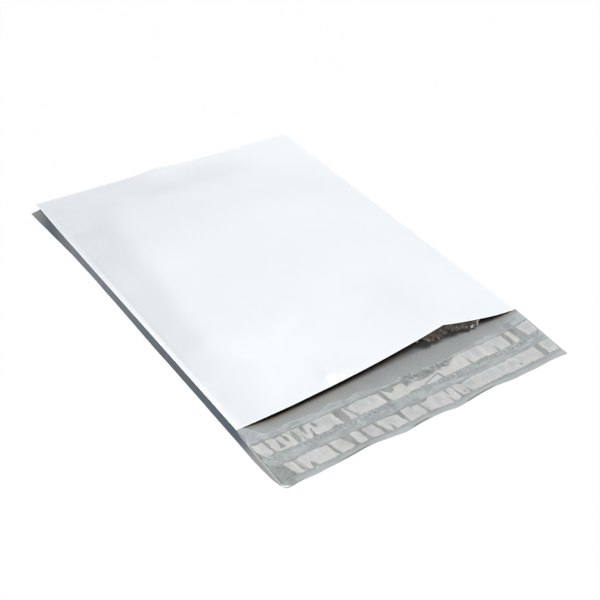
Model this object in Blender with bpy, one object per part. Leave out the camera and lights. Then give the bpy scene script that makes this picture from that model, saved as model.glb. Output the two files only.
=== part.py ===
"""Poly mailer bag, lying on its back panel with the mouth open towards -Y.

One film sheet is folded at the bottom and welded along both long sides. The back panel runs on past
the mouth as the sealing lip, which carries two adhesive bands under one clear release liner.
Units are metres, +Z is up, and the origin is the middle of the footprint on the floor.
"""
import math

import bpy

# Film bag, flat sizes
PANEL_WIDTH = 0.254
POUCH_LENGTH = 0.330
LIP_LENGTH = 0.061
FILM = 0.0005
WELD = 0.003
FOLD = 0.002

# Left margin of the back panel: it stands out past the front panel, slopes down and flares at the rear
MARGIN_OUT = 0.0038
MARGIN_OUT_REAR = 0.0010
MARGIN_FLARE = 0.0070
MARGIN_FLARE_RUN = 0.090
MARGIN_FLARE_POWER = 2.2
MARGIN_NOTCH = 0.005
MARGIN_TIP_OUT = 0.0010
MARGIN_TIP_TAPER = 0.014
MARGIN_REAR_LIFT = 0.0030
MARGIN_REAR_REACH = 0.060

# Heights of the bag's edges above the floor
LEFT_REAR_LIFT = 0.0112
LEFT_MOUTH_LIFT = 0.0053
LEFT_TIP_LIFT = 0.0010
RIGHT_REAR_LIFT = 0.0006
RIGHT_MOUTH_LIFT = 0.0042
RIGHT_TIP_LIFT = 0.0018
LEFT_TIP_POWER = 8
RIGHT_TIP_POWER = 4
REAR_BUMP = 0.0030
REAR_BUMP_AT = 0.455
REAR_BUMP_SPREAD = 0.040
LIP_WAVE = 0.0016
LIP_WAVES = 4.5
LIP_WAVE_PHASE = 0.285
LIP_WAVE_FADE = 0.25

# How far in from each edge the back panel leaves the floor
LEFT_REACH = 0.034
RIGHT_REACH = 0.028
REAR_REACH = 0.060
LIP_REACH = 0.024

# Front panel: a low dome behind a mouth edge that is pinched into one sharp crease
DOME = 0.0095
DOME_POWER = 0.75
DOME_REAR_RUN = 0.120
MOUTH_PEAK = 0.0155
CREASE_AT = 0.711
LEFT_RISE_POWER = 2.2
RIGHT_FALL_POWER = 1.4
CREASE_FADE = 0.095
EDGE_FADE = 0.003

# Adhesive bands and the release liner over them, measured down the lip from the mouth
CLEARANCE = 0.0003
ADHESIVE = 0.0003
LINER = 0.0003
INNER_BAND_START = 0.0170
INNER_BAND_WIDTH = 0.0155
OUTER_BAND_START = 0.0410
OUTER_BAND_WIDTH = 0.0120
LINER_START = 0.0120
LINER_WIDTH = 0.0420
BAND_LEFT_INSET = 0.0035
BAND_RIGHT_INSET = 0.0015

# Puckers of the liner: slanted tunnels that cross the bands, and a rippled upper edge
TUNNEL_PITCH = 0.0166
TUNNEL_HEIGHT = 0.0011
TUNNEL_HALF_WIDTH = 0.0022
TUNNEL_SWAY = 0.18
TUNNEL_SWAY_STEP = 2.4
TUNNEL_HEIGHT_SWING = 0.35
TUNNEL_HEIGHT_STEP = 1.7
TUNNEL_SLANT = 0.35
TUNNEL_SLANT_STEP = 1.1
TUNNEL_SLANT_PHASE = 0.6
LINER_EDGE_RIPPLE = 0.0018
LINER_EDGE_LIFT = 0.0012
LINER_RIPPLES = 11

# Mesh density: mean length of a cell in each stretch, and how much cells shrink towards its start
LEFT_CELL = 0.0099
RIGHT_CELL = 0.0078
LIP_CELL = 0.0055
FRONT_CELL = 0.0137
REAR_CELL = 0.0178
BAND_CELL = 0.0068
LINER_CELL = 0.00525
FRONT_GRADING = 1.5
REAR_GRADING = 1.25

# Places worked out from the sizes above
TOTAL_WIDTH = PANEL_WIDTH + max(MARGIN_OUT, MARGIN_OUT_REAR + MARGIN_FLARE)
TOTAL_LENGTH = POUCH_LENGTH + LIP_LENGTH
RIGHT_X = TOTAL_WIDTH / 2
CREST_X = RIGHT_X - PANEL_WIDTH
REAR_Y = TOTAL_LENGTH / 2
LIP_EDGE_Y = -TOTAL_LENGTH / 2
MOUTH_Y = LIP_EDGE_Y + LIP_LENGTH
NOTCH_Y = REAR_Y - MARGIN_NOTCH
FLARE_Y = NOTCH_Y - MARGIN_FLARE_RUN
CREASE_X = CREST_X + CREASE_AT * PANEL_WIDTH


def clamp(value):
    return min(1.0, max(0.0, value))


def ease(value):
    """Smooth step from 0 to 1."""
    t = clamp(value)
    return t * t * (3 - 2 * t)


def curl(distance, reach):
    """1 on an edge, falling smoothly to 0 at the reach inside it."""
    return clamp(1 - distance / reach) ** 2


def mix(a, b, share):
    return a + (b - a) * share


def across(x):
    """Share of the front panel's width, 0 at its left edge and 1 at its right edge."""
    return clamp((x - CREST_X) / PANEL_WIDTH)


def down_lip(y):
    """Share of the lip's length, 0 at the mouth and 1 at the lip's free edge."""
    return clamp((MOUTH_Y - y) / LIP_LENGTH)


def up_pouch(y):
    """Share of the pouch's length, 0 at the mouth and 1 at the bottom fold."""
    return clamp((y - MOUTH_Y) / POUCH_LENGTH)


def left_lift(y):
    """Height of the left crest."""
    on_lip = mix(LEFT_MOUTH_LIFT, LEFT_TIP_LIFT, 1 - (1 - down_lip(y)) ** 2)
    on_pouch = mix(LEFT_MOUTH_LIFT, LEFT_REAR_LIFT, up_pouch(y))
    return on_lip if y < MOUTH_Y else on_pouch


def right_lift(y):
    """Height of the right edge."""
    on_lip = mix(RIGHT_MOUTH_LIFT, RIGHT_TIP_LIFT, down_lip(y))
    on_pouch = mix(RIGHT_MOUTH_LIFT, RIGHT_REAR_LIFT, up_pouch(y))
    return on_lip if y < MOUTH_Y else on_pouch


def rear_lift(x):
    """Height of the bottom fold: it slopes from left to right, with one small bump."""
    share = across(x)
    bump = REAR_BUMP * curl(abs(share - REAR_BUMP_AT) * PANEL_WIDTH, REAR_BUMP_SPREAD)
    return mix(LEFT_REAR_LIFT, RIGHT_REAR_LIFT, share) + bump


def lip_edge_lift(x):
    """Height of the lip's free edge, which undulates and is lifted at both ends."""
    share = across(x)
    wave = LIP_WAVE * (1 - math.cos(2 * math.pi * (LIP_WAVES * share + LIP_WAVE_PHASE))) / 2
    ends = LEFT_TIP_LIFT * (1 - share) ** LEFT_TIP_POWER + RIGHT_TIP_LIFT * share ** RIGHT_TIP_POWER
    return ends + wave * ease(share / LIP_WAVE_FADE)


def back_height(x, y):
    """Underside of the back panel and the lip: flat on the floor in the middle, lifted at the edges."""
    left = curl(max(0.0, x - CREST_X - WELD), LEFT_REACH)
    right = curl(max(0.0, RIGHT_X - WELD - x), RIGHT_REACH)
    rear = curl(max(0.0, REAR_Y - FOLD - y), REAR_REACH)
    lip = curl(y - LIP_EDGE_Y, LIP_REACH)
    height = left_lift(y) * left + right_lift(y) * right
    height += rear * (rear_lift(x) - left_lift(REAR_Y) * left - right_lift(REAR_Y) * right)
    height += lip * (lip_edge_lift(x) - left_lift(LIP_EDGE_Y) * left - right_lift(LIP_EDGE_Y) * right)
    return max(0.0, height)


def mouth_rise(x):
    """Rise of the front panel's mouth edge over the line between its two ends."""
    share = across(x)
    if share < CREASE_AT:
        return MOUTH_PEAK * (share / CREASE_AT) ** LEFT_RISE_POWER
    return MOUTH_PEAK * ((1 - share) / (1 - CREASE_AT)) ** RIGHT_FALL_POWER


def front_height(x, y):
    """Height that the front panel would have without its welds: a dome that ends in the pinched mouth."""
    share = across(x)
    edge_line = mix(left_lift(y), right_lift(y), share)
    rear_line = mix(left_lift(REAR_Y), right_lift(REAR_Y), share)
    rear = curl(REAR_Y - y, REAR_REACH)
    dome = DOME * (4 * share * (1 - share)) ** DOME_POWER * ease((REAR_Y - y) / DOME_REAR_RUN)
    at_mouth = 1 - ease((y - MOUTH_Y) / CREASE_FADE)
    return edge_line + rear * (rear_lift(x) - rear_line) + mix(dome, mouth_rise(x), at_mouth)


def pouch_gap(x, y):
    """Height of the hollow between the two panels, nothing at the welds and the fold."""
    free = front_height(x, y) - back_height(x, y)
    inside = min(x - CREST_X - WELD, RIGHT_X - WELD - x, REAR_Y - FOLD - y)
    return max(0.0, free) * (1 - curl(max(0.0, inside), EDGE_FADE))


def spaced(start, end, cell, grading=1.0):
    """Stations from start to end about a cell apart, denser at the start when the grading is over 1."""
    cells = max(1, round(abs(end - start) / cell))
    return [mix(start, end, (step / cells) ** grading) for step in range(cells + 1)]


def offset_profile(profile, distance):
    """Shift a cross-section's points square to its line, upwards for a positive distance."""
    normals = []
    for (x0, z0), (x1, z1) in zip(profile, profile[1:]):
        length = math.hypot(x1 - x0, z1 - z0)
        normals.append(((z0 - z1) / length, (x1 - x0) / length))
    shifted = []
    for place, (x, z) in enumerate(profile):
        before = normals[max(0, place - 1)]
        after = normals[min(len(normals) - 1, place)]
        turn = 1 + before[0] * after[0] + before[1] * after[1]
        shifted.append((x + distance * (before[0] + after[0]) / turn,
                        z + distance * (before[1] + after[1]) / turn))
    return shifted


def film_columns():
    """X stations from the front panel's left edge to its right edge."""
    left_inner = CREST_X + WELD
    right_inner = RIGHT_X - WELD
    to_crease = spaced(left_inner, CREASE_X, LEFT_CELL)
    from_crease = spaced(CREASE_X, right_inner, RIGHT_CELL)
    return [CREST_X] + to_crease + from_crease[1:] + [RIGHT_X]


def film_rows():
    """Y stations from the lip's edge to the bottom fold."""
    middle_y = MOUTH_Y + POUCH_LENGTH / 2
    lip = spaced(LIP_EDGE_Y, MOUTH_Y, LIP_CELL)
    front = spaced(MOUTH_Y, middle_y, FRONT_CELL, FRONT_GRADING)
    rear = spaced(NOTCH_Y, middle_y, REAR_CELL, REAR_GRADING)[::-1]
    return lip + front[1:] + rear[1:] + [REAR_Y - FOLD, REAR_Y]


def margin_foot(y):
    """Lower edge of the left margin, as x and z."""
    out = mix(MARGIN_OUT, MARGIN_OUT_REAR, clamp((y - MOUTH_Y) / (FLARE_Y - MOUTH_Y)))
    out += MARGIN_FLARE * clamp((y - FLARE_Y) / MARGIN_FLARE_RUN) ** MARGIN_FLARE_POWER
    out = mix(out, MARGIN_TIP_OUT, curl(y - LIP_EDGE_Y, MARGIN_TIP_TAPER))
    lift = MARGIN_REAR_LIFT * curl(REAR_Y - y, MARGIN_REAR_REACH)
    return CREST_X - out + FILM, lift


class Solid:
    """Collects shared points and outward faces, then becomes one object."""

    def __init__(self):
        self.points = []
        self.index = {}
        self.faces = []
        self.face_slots = []

    def put(self, key, point):
        self.index[key] = len(self.points)
        self.points.append(point)

    def share(self, key, other):
        self.index[key] = self.index[other]

    def face(self, keys, slot=0):
        self.faces.append([self.index[key] for key in keys])
        self.face_slots.append(slot)

    def cell(self, layer, row, column, up, slot=0, left_half=False):
        """One grid cell as two triangles, split alike in every layer and mirrored in the left half."""
        a = (layer, row, column)
        b = (layer, row, column + 1)
        c = (layer, row + 1, column + 1)
        d = (layer, row + 1, column)
        halves = ((a, b, d), (b, c, d)) if left_half else ((a, b, c), (a, c, d))
        for triangle in halves:
            self.face(triangle if up else triangle[::-1], slot)

    def build(self, name, materials, sharp_degrees):
        used = sorted({point for face in self.faces for point in face})
        renumbered = {old: new for new, old in enumerate(used)}
        points = [self.points[old] for old in used]
        faces = [[renumbered[point] for point in face] for face in self.faces]
        mesh = bpy.data.meshes.new(name)
        mesh.from_pydata(points, [], faces)
        for material in materials:
            mesh.materials.append(material)
        mesh.polygons.foreach_set("material_index", self.face_slots)
        mesh.shade_smooth()
        mesh.set_sharp_from_angle(angle=math.radians(sharp_degrees))
        mesh.validate()
        piece = bpy.data.objects.new(name, mesh)
        bpy.context.scene.collection.objects.link(piece)
        return piece


def film_points(solid, columns, rows, mouth, fold):
    """Points of the film's four faces: outer back, inner back, inner front and outer front.

    Column 0 is the margin's foot, column 1 the front panel's left edge, and the inner points of the
    two panels are shared along the weld lines and the fold line.
    """
    weld_left = 2
    weld_right = len(columns) - 1
    for row, y in enumerate(rows):
        under = [margin_foot(y)] + [(x, back_height(x, y)) for x in columns]
        inner = offset_profile(under, FILM)
        over = offset_profile(under, 2 * FILM)
        for column in range(weld_left + 1, weld_right):
            x, z = under[column]
            over[column] = (x, z + 2 * FILM + pouch_gap(x, y))
        ceiling = offset_profile(over[1:], -FILM)
        for column, (x, z) in enumerate(under):
            solid.put(("outer_back", row, column), (x, y, z))
            solid.put(("inner_back", row, column), (inner[column][0], y, inner[column][1]))
            if row >= mouth and column >= 1:
                solid.put(("outer_front", row, column), (over[column][0], y, over[column][1]))
            if mouth <= row <= fold and weld_left <= column <= weld_right:
                if row == fold or column in (weld_left, weld_right):
                    solid.share(("inner_front", row, column), ("inner_back", row, column))
                else:
                    x_in, z_in = ceiling[column - 1]
                    solid.put(("inner_front", row, column), (x_in, y, z_in))


def film_panels(solid, column_count, rows, mouth, notch, fold):
    """The broad faces of the back panel, lip, margin and front panel."""
    outside = 0
    inside = 1
    last_row = len(rows) - 1
    weld_left = 2
    weld_right = column_count - 2
    for row in range(last_row):
        for column in range(column_count - 1):
            left_half = column < column_count // 2
            on_margin = column == 0
            in_pouch = mouth <= row < fold and weld_left <= column < weld_right
            if not on_margin or row < notch:
                solid.cell("outer_back", row, column, False, outside, left_half)
            if row < mouth or in_pouch or (on_margin and row < notch):
                solid.cell("inner_back", row, column, True, inside, left_half)
            if in_pouch:
                solid.cell("inner_front", row, column, False, inside, left_half)
            if row >= mouth and not on_margin:
                solid.cell("outer_front", row, column, True, outside, left_half)


def film_edges(solid, column_count, rows, mouth, notch):
    """The narrow faces of the film's thickness round the lip, mouth, sides, notch and fold."""
    last_row = len(rows) - 1
    last = column_count - 1
    for column in range(last):
        after = column + 1
        solid.face([("outer_back", 0, column), ("outer_back", 0, after),
                    ("inner_back", 0, after), ("inner_back", 0, column)])
        if column == 0:
            continue
        at_weld = column == 1 or after == last
        lower = "inner_back" if at_weld else "inner_front"
        solid.face([(lower, mouth, column), (lower, mouth, after),
                    ("outer_front", mouth, after), ("outer_front", mouth, column)])
        solid.face([("outer_back", last_row, after), ("outer_back", last_row, column),
                    ("outer_front", last_row, column), ("outer_front", last_row, after)])
    solid.face([("outer_back", notch, 1), ("outer_back", notch, 0),
                ("inner_back", notch, 0), ("inner_back", notch, 1)])
    for row in range(last_row):
        after = row + 1
        if row < notch:
            solid.face([("outer_back", after, 0), ("outer_back", row, 0),
                        ("inner_back", row, 0), ("inner_back", after, 0)])
        if row >= mouth:
            lower = "inner_back" if row < notch else "outer_back"
            step = [("inner_back", row, 1)] if row == notch else []
            solid.face([(lower, after, 1), (lower, row, 1)] + step
                       + [("outer_front", row, 1), ("outer_front", after, 1)])
        upper = "inner_back" if row < mouth else "outer_front"
        step = [("inner_back", row, last)] if row == mouth else []
        solid.face([("outer_back", row, last), ("outer_back", after, last),
                    (upper, after, last), (upper, row, last)] + step)


def make_bag_film(outer_material, inner_material):
    columns = film_columns()
    rows = film_rows()
    mouth = len(spaced(LIP_EDGE_Y, MOUTH_Y, LIP_CELL)) - 1
    notch = len(rows) - 3
    fold = len(rows) - 2
    solid = Solid()
    film_points(solid, columns, rows, mouth, fold)
    column_count = len(columns) + 1
    film_panels(solid, column_count, rows, mouth, notch, fold)
    film_edges(solid, column_count, rows, mouth, notch)
    return solid.build("bag_film", [outer_material, inner_material], 35)


def lip_top(x, y):
    """Upper face of the lip's film."""
    return back_height(x, y) + FILM


def make_sheet(name, grid, thickness, material, sharp_degrees):
    """A thin closed sheet whose underside is a grid of points, rows along +Y and columns along +X."""
    solid = Solid()
    last_row = len(grid) - 1
    last = len(grid[0]) - 1
    for row, line in enumerate(grid):
        for column, (x, y, z) in enumerate(line):
            solid.put(("under", row, column), (x, y, z))
            solid.put(("over", row, column), (x, y, z + thickness))
    for row in range(last_row):
        for column in range(last):
            solid.cell("under", row, column, False)
            solid.cell("over", row, column, True)
    for column in range(last):
        after = column + 1
        solid.face([("under", 0, column), ("under", 0, after), ("over", 0, after), ("over", 0, column)])
        solid.face([("under", last_row, after), ("under", last_row, column),
                    ("over", last_row, column), ("over", last_row, after)])
    for row in range(last_row):
        after = row + 1
        solid.face([("under", after, 0), ("under", row, 0), ("over", row, 0), ("over", after, 0)])
        solid.face([("under", row, last), ("under", after, last), ("over", after, last), ("over", row, last)])
    return solid.build(name, [material], sharp_degrees)


def make_adhesive_strip(name, start, width, material):
    """A flat band of adhesive on the lip, start metres down from the mouth."""
    left = CREST_X + BAND_LEFT_INSET
    right = RIGHT_X - BAND_RIGHT_INSET
    columns = [left] + [x for x in film_columns() if left + WELD < x < right - WELD] + [right]
    rows = spaced(MOUTH_Y - start - width, MOUTH_Y - start, BAND_CELL)
    grid = [[(x, y, lip_top(x, y) + CLEARANCE) for x in columns] for y in rows]
    return make_sheet(name, grid, ADHESIVE, material, 35)


def liner_columns():
    """Stations across the liner as x and a share of the tunnel height, with three at each tunnel."""
    left = CREST_X + BAND_LEFT_INSET
    right = RIGHT_X - BAND_RIGHT_INSET
    tunnels = round((right - left) / TUNNEL_PITCH)
    pitch = (right - left) / tunnels
    stations = [(left, 0.0, 0.0)]
    for number in range(tunnels):
        sway = TUNNEL_SWAY * math.sin(TUNNEL_SWAY_STEP * number)
        centre = left + pitch * (number + 0.5 + sway)
        height = 1 - TUNNEL_HEIGHT_SWING * (1 - math.cos(TUNNEL_HEIGHT_STEP * number))
        slant = TUNNEL_SLANT * math.sin(TUNNEL_SLANT_STEP * number + TUNNEL_SLANT_PHASE)
        stations.append((centre - TUNNEL_HALF_WIDTH, 0.0, slant))
        stations.append((centre, height, slant))
        stations.append((centre + TUNNEL_HALF_WIDTH, 0.0, slant))
    return stations + [(right, 0.0, 0.0)]


def make_release_liner(material):
    """Clear film over both bands, with slanted tunnels across it and a rippled upper edge."""
    low = MOUTH_Y - LINER_START - LINER_WIDTH
    high = MOUTH_Y - LINER_START
    middle = (low + high) / 2
    seat = CLEARANCE + ADHESIVE + CLEARANCE
    grid = []
    for y_flat in spaced(low, high, LINER_CELL):
        upper_share = ease((y_flat - middle) / (high - middle))
        line = []
        for x_flat, height, slant in liner_columns():
            ripple = math.sin(2 * math.pi * LINER_RIPPLES * across(x_flat))
            x = x_flat + slant * (y_flat - middle)
            y = y_flat + upper_share ** 3 * LINER_EDGE_RIPPLE * ripple
            lift = upper_share ** 3 * LINER_EDGE_LIFT * (1 + ripple) / 2
            line.append((x, y, lip_top(x, y) + seat + height * TUNNEL_HEIGHT + lift))
        grid.append(line)
    return make_sheet("release_liner", grid, LINER, material, 35)


def make_material(name, colour, roughness, metallic=0.0, alpha=1.0):
    material = bpy.data.materials.new(name)
    material.use_nodes = True
    shader = material.node_tree.nodes["Principled BSDF"]
    shader.inputs["Base Color"].default_value = (*colour, 1.0)
    shader.inputs["Roughness"].default_value = roughness
    shader.inputs["Metallic"].default_value = metallic
    shader.inputs["Alpha"].default_value = alpha
    return material


def clear_scene():
    for item in list(bpy.data.objects):
        bpy.data.objects.remove(item, do_unlink=True)


def main():
    clear_scene()
    film_white = make_material("film_white", (0.86, 0.88, 0.90), 0.32)
    film_grey = make_material("film_grey", (0.32, 0.34, 0.34), 0.38)
    adhesive = make_material("adhesive", (0.62, 0.62, 0.60), 0.45)
    liner = make_material("liner", (0.60, 0.64, 0.66), 0.12, alpha=0.45)
    make_bag_film(film_white, film_grey)
    make_adhesive_strip("adhesive_strip_inner", INNER_BAND_START, INNER_BAND_WIDTH, adhesive)
    make_adhesive_strip("adhesive_strip_outer", OUTER_BAND_START, OUTER_BAND_WIDTH, adhesive)
    make_release_liner(liner)


main()
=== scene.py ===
"""Poly mailer bag: film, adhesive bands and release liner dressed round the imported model.

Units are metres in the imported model's frame: +Z up, the lip towards -Y. Lists of places on the bag
are in millimetres, measured from the bag's middle line and down or up the bag from its mouth.
"""
import math

import bpy
import numpy as np
from mathutils import Matrix, Vector


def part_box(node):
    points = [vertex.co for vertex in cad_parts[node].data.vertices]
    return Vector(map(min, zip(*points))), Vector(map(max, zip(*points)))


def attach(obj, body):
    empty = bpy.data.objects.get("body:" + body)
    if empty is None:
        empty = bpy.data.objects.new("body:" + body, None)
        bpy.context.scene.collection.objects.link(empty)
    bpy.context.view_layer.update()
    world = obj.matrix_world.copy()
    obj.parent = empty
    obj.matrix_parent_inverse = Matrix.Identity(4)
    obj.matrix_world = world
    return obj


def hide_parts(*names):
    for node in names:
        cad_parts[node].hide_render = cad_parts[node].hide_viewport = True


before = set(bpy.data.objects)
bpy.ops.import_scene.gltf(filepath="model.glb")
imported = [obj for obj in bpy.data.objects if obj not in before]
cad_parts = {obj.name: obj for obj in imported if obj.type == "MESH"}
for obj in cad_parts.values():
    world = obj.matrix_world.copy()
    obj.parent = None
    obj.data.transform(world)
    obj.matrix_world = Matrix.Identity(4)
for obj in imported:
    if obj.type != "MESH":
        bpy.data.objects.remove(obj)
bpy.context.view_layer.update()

MM = 0.001

# Sizes of the dressed bag
PANEL_WIDTH = 0.254
POUCH_LENGTH = 0.330
LIP_LENGTH = 0.061
LIP_OVERHANG = 0.0007
WELD = 0.003
FOLD = 0.002
MARGIN_NOTCH = 0.009
MARGIN_TIP_OUT = 0.0010
MARGIN_REAR_LIFT = 0.0093
MARGIN_REAR_REACH = 0.050
LEFT_REAR_LIFT = 0.0112
LEFT_MOUTH_LIFT = 0.0053
LEFT_TIP_LIFT = 0.0003
RIGHT_REAR_LIFT = 0.0006
RIGHT_MOUTH_LIFT = 0.0042
RIGHT_TIP_LIFT = 0.0018
REAR_BUMP = 0.0030
REAR_BUMP_AT = 0.455
REAR_BUMP_SPREAD = 0.040
LEFT_REACH = 0.034
RIGHT_REACH = 0.028
REAR_REACH = 0.060
LIP_REACH = 0.024
DOME = 0.0095
DOME_REAR_RUN = 0.120
MOUTH_PEAK = 0.0155
CREASE_AT = 0.711
LEFT_RISE_POWER = 2.2
RIGHT_FALL_POWER = 1.4
CREASE_FADE = 0.095
EDGE_FADE = 0.003
INNER_BAND_START = 0.0157
INNER_BAND_WIDTH = 0.0152
OUTER_BAND_START = 0.0408
OUTER_BAND_WIDTH = 0.0152
LINER_START = 0.0120
LINER_WIDTH = 0.0455
BAND_LEFT_INSET = 0.0008
BAND_RIGHT_INSET = 0.0015

CORNER_RADIUS = 0.0050
LIP_DRAW = 0.0022
# Width of the narrow edge column of the film, and of the painted highlight along its edges
RIM = 0.0008

# Where the painted shade on the lining turns dark behind the mouth: distance behind it and shift to the side,
# as shares of the opening's height
DARK_DEPTH = 1.09
DARK_SHIFT = 0.735

# Thicknesses and gaps of the dressed films
FILM = 0.0003
ADHESIVE = 0.00022
LINER = 0.00012
LAYER_GAP = 0.00006

# Slits of the tear line between the bands
SLIT_PLACE = 0.0330
SLIT_PITCH = 0.0042
SLIT_LENGTH = 0.0015
SLIT_WIDTH = 0.0010
SLIT_LIFT = 0.00024

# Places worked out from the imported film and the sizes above
FILM_LOW, FILM_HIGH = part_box("bag_film")
RIGHT_X = FILM_HIGH.x
REAR_Y = FILM_HIGH.y
LIP_EDGE_Y = FILM_LOW.y
CREST_X = RIGHT_X - PANEL_WIDTH
MOUTH_Y = LIP_EDGE_Y + LIP_LENGTH
MIDDLE_X = RIGHT_X - PANEL_WIDTH / 2
CREASE_X = CREST_X + CREASE_AT * PANEL_WIDTH

# Grid densities, and powers that crowd the film's rows and columns towards one end
MARGIN_CELLS = 7
LEFT_CELLS = 84
RIGHT_CELLS = 40
LIP_ROWS = 56
FRONT_ROWS = 62
REAR_ROWS = 56
CRUMPLE_COLUMNS = 301
CRUMPLE_ROWS = 41
BAND_COLUMNS = 560
BAND_ROWS = 30
LINER_COLUMNS = 430
LINER_ROWS = 62
GRADING = 1.25
FRONT_GRADING = 1.4

# Powers that bow the left margin between its lower edge and the panel's edge
MARGIN_SPREAD = 0.85
MARGIN_BOW = 1.1

# Width of the slope along the left edge: distance up the bag from the mouth and width, in millimetres
LEFT_SHOULDER = [
    (0, 34), (18, 38), (52, 44), (84, 27), (131, 28), (172, 34), (220, 38), (260, 43), (291, 62), (328, 116),
]
RIGHT_SHOULDER = 0.060

# Lower edge of the left margin: distance up the bag from the mouth and distance out, in millimetres
MARGIN_LINE = [
    (-61, 1.0), (-50, 2.6), (-38, 3.3), (-27, 3.5), (-4, 2.8), (98, 1.7), (155, 1.0), (215, 0.2), (262, 0.2),
    (281, 1.2), (299, 3.6), (322, 8.7),
]

# Height of the lip's free edge: place across the bag and height, in millimetres
LIP_EDGE_LIFT = [
    (-127, 0.0), (-121, 0.0), (-114, 0.9), (-103, 0.0), (-82, 1.2), (-61, 3.5), (-52, 3.2), (-26, 0.0),
    (-11, 2.6), (7, 2.4), (21, 0.0), (40, 3.0), (52, 4.4), (68, 2.6), (86, 2.4), (111, 3.6), (127, 2.6),
]

# Soft folds of the front panel: start, end, half width and height, in millimetres
PANEL_FOLDS = [
    ((-22, 328), (-60, 288), 13, 0.55),
    ((-60, 288), (-79, 236), 12, 0.50),
    ((-79, 236), (-89, 172), 13, 0.45),
    ((-89, 172), (-99, 100), 13, 0.35),
    ((-99, 100), (-84, 52), 12, 0.35),
    ((-125, 318), (-92, 300), 6, -0.50),
    ((-120, 300), (-84, 262), 5, 0.35),
    ((-126, 272), (-104, 268), 4, -0.45),
    ((-118, 246), (-101, 220), 6, 0.40),
    ((-90, 307), (-30, 283), 7, -0.45),
    ((-34, 300), (34, 304), 8, -0.40),
    ((20, 290), (78, 300), 9, -0.30),
    ((-75, 58), (-22, 92), 7, 0.30),
    ((-66, 47), (-12, 80), 6, -0.28),
    ((-8, 84), (4, 42), 5, 0.12),
    ((8, 76), (18, 36), 4, -0.13),
    ((14, 74), (27, 33), 4, 0.13),
    ((24, 66), (36, 28), 4, -0.13),
    ((30, 64), (43, 26), 4, 0.13),
    ((43, 58), (53, 22), 4, -0.12),
    ((84, 60), (70, 14), 6, 0.25),
    ((96, 70), (88, 16), 6, -0.25),
    ((119, 130), (112, 60), 6, 0.20),
]

# Faint patches of painted shade by the bottom fold: start, end and half width (mm), and strength in
# thousandths
REAR_PATCHES = [((-80, 309), (88, 299), 19, 96), ((-58, 294), (-2, 293), 8, 24)]

# Upper edge of the release liner: distance across the bag and distance from the mouth, in millimetres
LINER_TOP = [
    (-128, -0.4), (-121, -0.8), (-117, -5.0), (-113, -10.6), (-107, -11.2), (-101, -10.8), (-97, -9.6),
    (-91, -9.0), (-86, -9.2), (-82, -10.4), (-77, -9.6), (-72, -10.2), (-68, -12.2), (-62, -10.2),
    (-57, -8.2), (-51, -8.6), (-47, -9.0), (-42, -11.6), (-36, -9.6), (-31, -8.8), (-27, -11.4),
    (-22, -13.6), (-17, -13.2), (-11, -14.8), (-4, -14.2), (6, -12.8), (14, -14.6), (26, -14.4),
    (42, -15.6), (56, -14.2), (68, -13.4), (75, -11.6), (82, -10.4), (88, -9.8), (94, -11.6), (101, -9.6),
    (106, -8.2), (111, -4.6), (115, -5.0), (120, -4.6), (128, -5.4),
]
LINER_FOOT_WAVE = 0.0007

# Upward bend of both bands towards the right edge: place across the bag and bend, in millimetres
BAND_BEND = [(22, 0.0), (60, 1.0), (97, 1.4), (116, 1.9), (128, 2.0)]

# Upper edge of the inner band's contact under the crumpled liner: place and distance from the mouth (mm)
RAGGED_TOP = [
    (-16, -15.6), (-13, -20.2), (-10, -22.6), (-7, -21.4), (-5, -16.4), (2, -15.9), (3, -24.4), (6, -22.0),
    (10, -20.8), (13, -22.4), (16, -23.8), (22, -22.8), (28, -22.6), (33, -21.2), (38, -19.8), (41, -20.4),
    (44, -21.2), (47, -18.6), (52, -16.0), (56, -14.6),
]

# Places where a band is lifted off the liner. Each row holds: place across the bag at the gap's upper
# and lower end (mm), its width at both ends and in the middle (mm), and its upper and lower end as
# shares of the band's width
INNER_GAPS = [
    (-126.6, -124.2, 0.5, 5.4, 1.8, 0.4, 1.1),
    (-116.6, -113.8, 3.0, 2.0, 1.8, -0.05, 1.05),
    (-107.2, -106.6, 0.5, 4.4, 2.0, 0.16, 0.8),
    (-101.8, -99.2, 0.8, 0.6, 2.8, 0.0, 0.66),
    (-97.6, -96.6, 1.0, 0.3, 0.7, 0.02, 0.34),
    (-93.6, -93.4, 1.4, 1.8, 4.4, 0.04, 0.98),
    (-90.4, -88.9, 0.5, 0.7, 0.5, 0.0, 1.02),
    (-88.5, -87.6, 0.5, 0.8, 0.6, 0.0, 1.0),
    (-85.2, -85.6, 4.6, 0.6, 3.0, -0.1, 0.66),
    (-80.2, -81.4, 1.0, 3.2, 1.6, 0.34, 1.02),
    (-77.4, -74.8, 2.2, 1.2, 2.8, 0.12, 0.5),
    (-55.2, -54.0, 8.8, 5.8, 7.4, -0.1, 1.05),
    (-49.0, -43.6, 1.0, 2.0, 2.6, 0.1, 0.96),
    (-18.0, -16.6, 3.4, 4.6, 3.4, -0.1, 1.05),
    (60.0, 60.2, 0.8, 1.8, 1.6, 0.58, 1.02),
    (86.2, 87.6, 1.0, 2.6, 2.2, 0.52, 1.0),
    (101.0, 101.2, 4.4, 4.8, 4.6, -0.05, 1.05),
    (110.6, 112.4, 6.2, 8.6, 7.2, -0.1, 1.1),
]
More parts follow.
